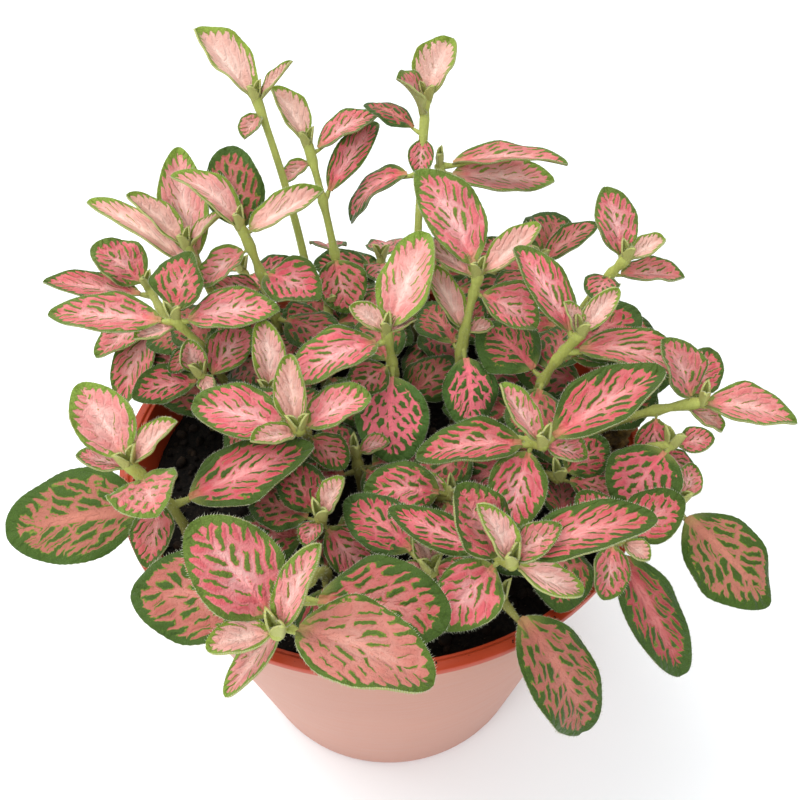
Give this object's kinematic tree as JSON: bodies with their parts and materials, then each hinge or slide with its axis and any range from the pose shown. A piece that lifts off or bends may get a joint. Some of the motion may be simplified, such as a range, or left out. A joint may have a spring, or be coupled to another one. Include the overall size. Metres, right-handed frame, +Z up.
{
  "type": "potted nerve plant",
  "caption": "Nerve plant in a plastic nursery pot: a low, dense mound of leafy stems whose pink and cream leaves have green edges and a net of veins.",
  "frame": {"origin": "centre of the pot's base, on the surface it stands on", "axes": "+Z up along the pot's axis; +Y away from the side that the picture shows; +X to the right of that side"},
  "size_m": [0.1687, 0.158, 0.1577],
  "materials": {
    "pot": "satin terracotta-coloured plastic, dustier on the wall than on the rim",
    "soil": "matt, damp and crumbly",
    "leaf": "satin, slightly quilted between the veins"
  },
  "bodies": {
    "root": {"pot": "pot", "soil": "soil", "stem_left": "leaf", "stem_left_inner": "leaf", "stem_left_back": "leaf", "stem_bud": "leaf", "stem_tall_left": "leaf", "stem_cream": "leaf", "stem_tall": "leaf", "stem_arching": "leaf", "stem_centre_back": "leaf", "stem_right_inner": "leaf", "stem_right_behind": "leaf", "stem_right_back": "leaf", "stem_right": "leaf", "stem_right_low": "leaf", "stem_outer_right": "leaf", "stem_drooping": "leaf", "stem_middle_right": "leaf", "stem_front_right": "leaf", "stem_over_rim": "leaf", "stem_front_left": "leaf", "stem_front": "leaf", "stem_front_inner": "leaf", "stem_small": "leaf", "stem_left_front": "leaf", "stem_middle_left": "leaf", "stem_middle": "leaf", "stem_far_left": "leaf", "stem_low_back": "leaf", "stem_low_left": "leaf", "stem_low_middle": "leaf", "stem_low_right": "leaf", "stem_back": "leaf", "stem_back_left": "leaf", "stem_back_right": "leaf", "stem_side_right": "leaf"}
  },
  "joints": []
}
